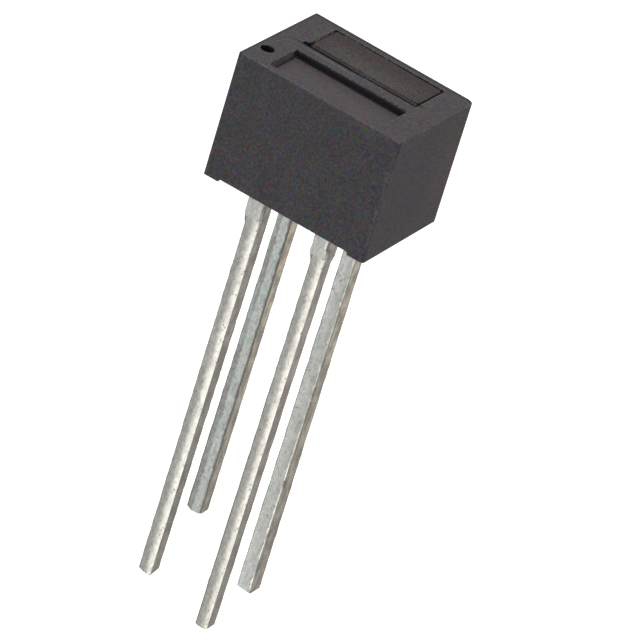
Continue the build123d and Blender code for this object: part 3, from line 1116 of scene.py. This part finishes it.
# %% Inside the blocks
def fine_metal(name, dark, light, size, roughness, metallic):
    """A metal or mineral whose colour and gloss vary in small patches of this size."""
    material, tree, shader = new_material(name, Metallic=metallic)
    grain = noise(tree, object_place(tree, size=(size,) * 3), 3.0, 0.6)
    colour = blend_colours(tree, step_up(tree, grain, 0.35, 0.65), dark, light)
    feed(colour, shader.inputs["Base Color"])
    feed(math_node(tree, "MULTIPLY_ADD", grain, 0.2, roughness), shader.inputs["Roughness"])
    link_bump(tree, shader, grain, 0.001)
    return material


silicon = fine_metal("silicon", (0.10, 0.11, 0.14), (0.17, 0.18, 0.22), 0.12, 0.15, 0.4)
silver_glue = fine_metal("silver_glue", (0.32, 0.32, 0.31), (0.55, 0.55, 0.53), 0.02, 0.40, 0.8)
gold = fine_metal("gold", (0.78, 0.52, 0.20), (0.92, 0.68, 0.30), 0.05, 0.15, 1.0)

# %% Put each finish on its pieces
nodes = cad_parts
finishes = {
    housing: plastic,
    fill: potting,
    nodes["detector_block"]: detector_epoxy,
    nodes["lamp_block"]: lamp_epoxy,
    nodes["detector_chip"]: silicon,
    nodes["lamp_chip"]: silicon,
    nodes["detector_film"]: silver_glue,
    nodes["lamp_film"]: silver_glue,
    nodes["detector_wire"]: gold,
    nodes["lamp_wire"]: gold,
}
finishes.update({piece: tin[lead] for lead, piece in leads.items()})
for piece, material in finishes.items():
    if not piece.material_slots:
        piece.data.materials.append(material)
    for slot in piece.material_slots:
        slot.material = material
print("finishes on", len(finishes), "pieces")

# %% [markdown]
# ## Studio
#
# The sensor stands in a plain bright room over a pale floor. The world and the lamps light it at about the
# level at which a colour shows as it was chosen. What the camera and mirrors see behind it is lifted to
# white by Light Path, which changes the background and not the light. The sensor hovers well above the
# floor, as on a hidden holder, so its own shadow spreads out and almost vanishes.

# %% World and floor
scene.view_settings.view_transform = "Standard"
floor_drop = 45.0
room_light = 0.5
floor_lift = 0.5
picture_lift = 0.15


def seen_directly(tree):
    """A mask that is 1 where the camera, a mirror or a glass looks, and 0 where light is gathered."""
    path = add_node(tree, "LightPath")
    mirror = math_node(tree, "MAXIMUM", path.outputs["Is Glossy Ray"], path.outputs["Is Transmission Ray"])
    return math_node(tree, "MAXIMUM", path.outputs["Is Camera Ray"], mirror)


world = bpy.data.worlds.new("studio")
scene.world = world
world.use_nodes = True
tree = world.node_tree
background = tree.nodes["Background"]
background.inputs["Color"].default_value = (1, 1, 1, 1)
level = math_node(tree, "MULTIPLY_ADD", seen_directly(tree), 1.0 - room_light, room_light)
feed(level, background.inputs["Strength"])

activate()
bpy.ops.mesh.primitive_plane_add(size=4, location=(0, 0, cad_bounds[0].z - floor_drop * mm))
floor = bpy.context.object
floor.name = "floor"
paper, tree, shader = new_material("floor_paper", Roughness=1.0, Specular_IOR_Level=0.0)
shader.inputs["Base Color"].default_value = (0.8, 0.8, 0.8, 1)
shader.inputs["Emission Color"].default_value = (1, 1, 1, 1)
in_picture = add_node(tree, "LightPath").outputs["Is Camera Ray"]
lift = math_node(tree, "MULTIPLY", seen_directly(tree), floor_lift)
lift = math_node(tree, "MULTIPLY_ADD", in_picture, picture_lift, lift)
feed(lift, shader.inputs["Emission Strength"])
clear = add_node(tree, "BsdfTransparent")
sides = add_node(tree, "MixShader")
feed(add_node(tree, "NewGeometry").outputs["Backfacing"], sides.inputs[0])
feed(shader.outputs[0], sides.inputs[1])
feed(clear.outputs[0], sides.inputs[2])
feed(sides.outputs[0], tree.nodes["Material Output"].inputs["Surface"])
floor.data.materials.append(paper)


# %% Lamps
def soft_box(name, place, aim, width, height, brightness, colour):
    """A soft box in millimetres. A mirror would show it as bright as its brightness says."""
    data = bpy.data.lights.new(name, "AREA")
    data.shape = "RECTANGLE"
    data.size = width * mm
    data.size_y = height * mm
    data.energy = brightness * math.pi * width * height * mm * mm
    data.color = colour
    lamp = bpy.data.objects.new(name, data)
    scene.collection.objects.link(lamp)
    lamp.visible_camera = False
    lamp.location = Vector(place) * mm
    lamp.rotation_mode = "QUATERNION"
    lamp.rotation_quaternion = (Vector(aim) * mm - lamp.location).to_track_quat("-Z", "Y")


warm = (1.0, 0.915, 0.925)
cool = (0.885, 0.98, 1.09)
cream = (1.0, 0.975, 0.91)
soft_box("overhead", (-20, 30, 150), (0, 0, 0), 140, 140, 3.0, warm)
soft_box("front", (-60, -150, 30), (0, 0, 0), 110, 110, 1.75, cool)
soft_box("low_front", (24, -74, -52), (0, 0, -7), 80, 36, 1.75, cream)
